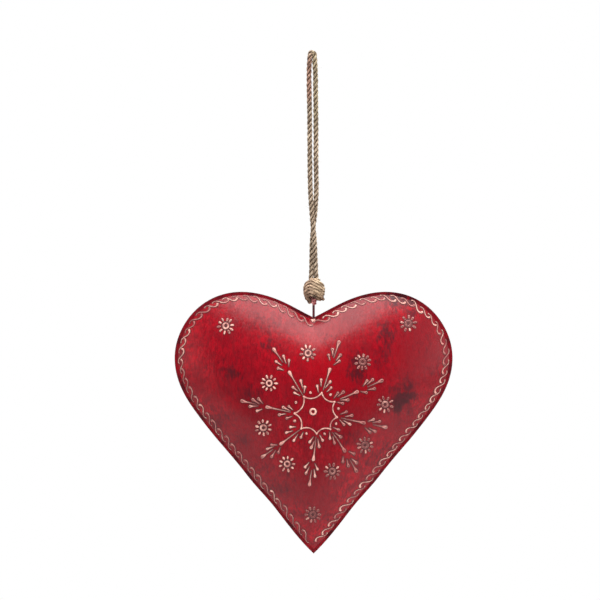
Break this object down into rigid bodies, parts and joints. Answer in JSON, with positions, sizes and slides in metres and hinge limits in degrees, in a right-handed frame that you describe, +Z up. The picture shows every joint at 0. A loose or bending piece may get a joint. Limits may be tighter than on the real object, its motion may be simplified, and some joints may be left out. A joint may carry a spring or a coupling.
{
  "type": "hanging heart ornament",
  "caption": "Puffed sheet-metal heart in worn red paint with raised white paste snowflake, rosettes and scroll border, on a wire eye and a knotted jute cord loop.",
  "frame": {"origin": "inner top of the cord loop, where it bears on a nail", "axes": "+X to the right seen from the front, -Y out of the decorated front, +Z up"},
  "size_m": [0.1808, 0.0414, 0.3276],
  "materials": {
    "jute": "braided jute, dull",
    "jute_dark": "packed jute, dull",
    "wire_paint": "dark red paint over steel wire",
    "solder": "dull tin solder",
    "red_paint": "satin red paint with dark worn patches",
    "worn_edge": "rubbed dark edge",
    "paste": "raised paste, rubbed with red"
  },
  "bodies": {
    "cord": {"cord_loop": "jute"},
    "knot": {"knot_core": "jute_dark", "knot_winding": "jute", "cord_bight": "jute"},
    "heart": {"hanger_wire": "wire_paint", "wire_solder": "solder", "front_shell": "red_paint", "back_shell": "red_paint", "seam_solder": "worn_edge", "centre_ring": "paste", "star_line": "paste", "star_dots": "paste", "border_left": "paste", "border_right": "paste", "rosette_1": "paste", "rosette_2": "paste", "rosette_3": "paste", "rosette_4": "paste", "rosette_5": "paste", "rosette_6": "paste", "rosette_7": "paste", "rosette_8": "paste", "rosette_9": "paste", "rosette_10": "paste", "rosette_11": "paste", "ray_1": "paste", "ray_2": "paste", "ray_3": "paste", "ray_4": "paste", "ray_5": "paste", "ray_6": "paste", "ray_7": "paste", "ray_8": "paste"}
  },
  "joints": [
    {"name": "cord_twist", "type": "hinge", "parent": "cord", "child": "knot", "pos_m": [0, 0, -0.1459], "axis": [0, 0, 1], "range_deg": [-90, 90], "stiffness_Nm_per_rad": 0.0005},
    {"name": "heart_swing", "type": "hinge", "parent": "knot", "child": "heart", "pos_m": [0, 0, -0.1556], "axis": [0, 1, 0], "range_deg": [-15, 15]}
  ]
}
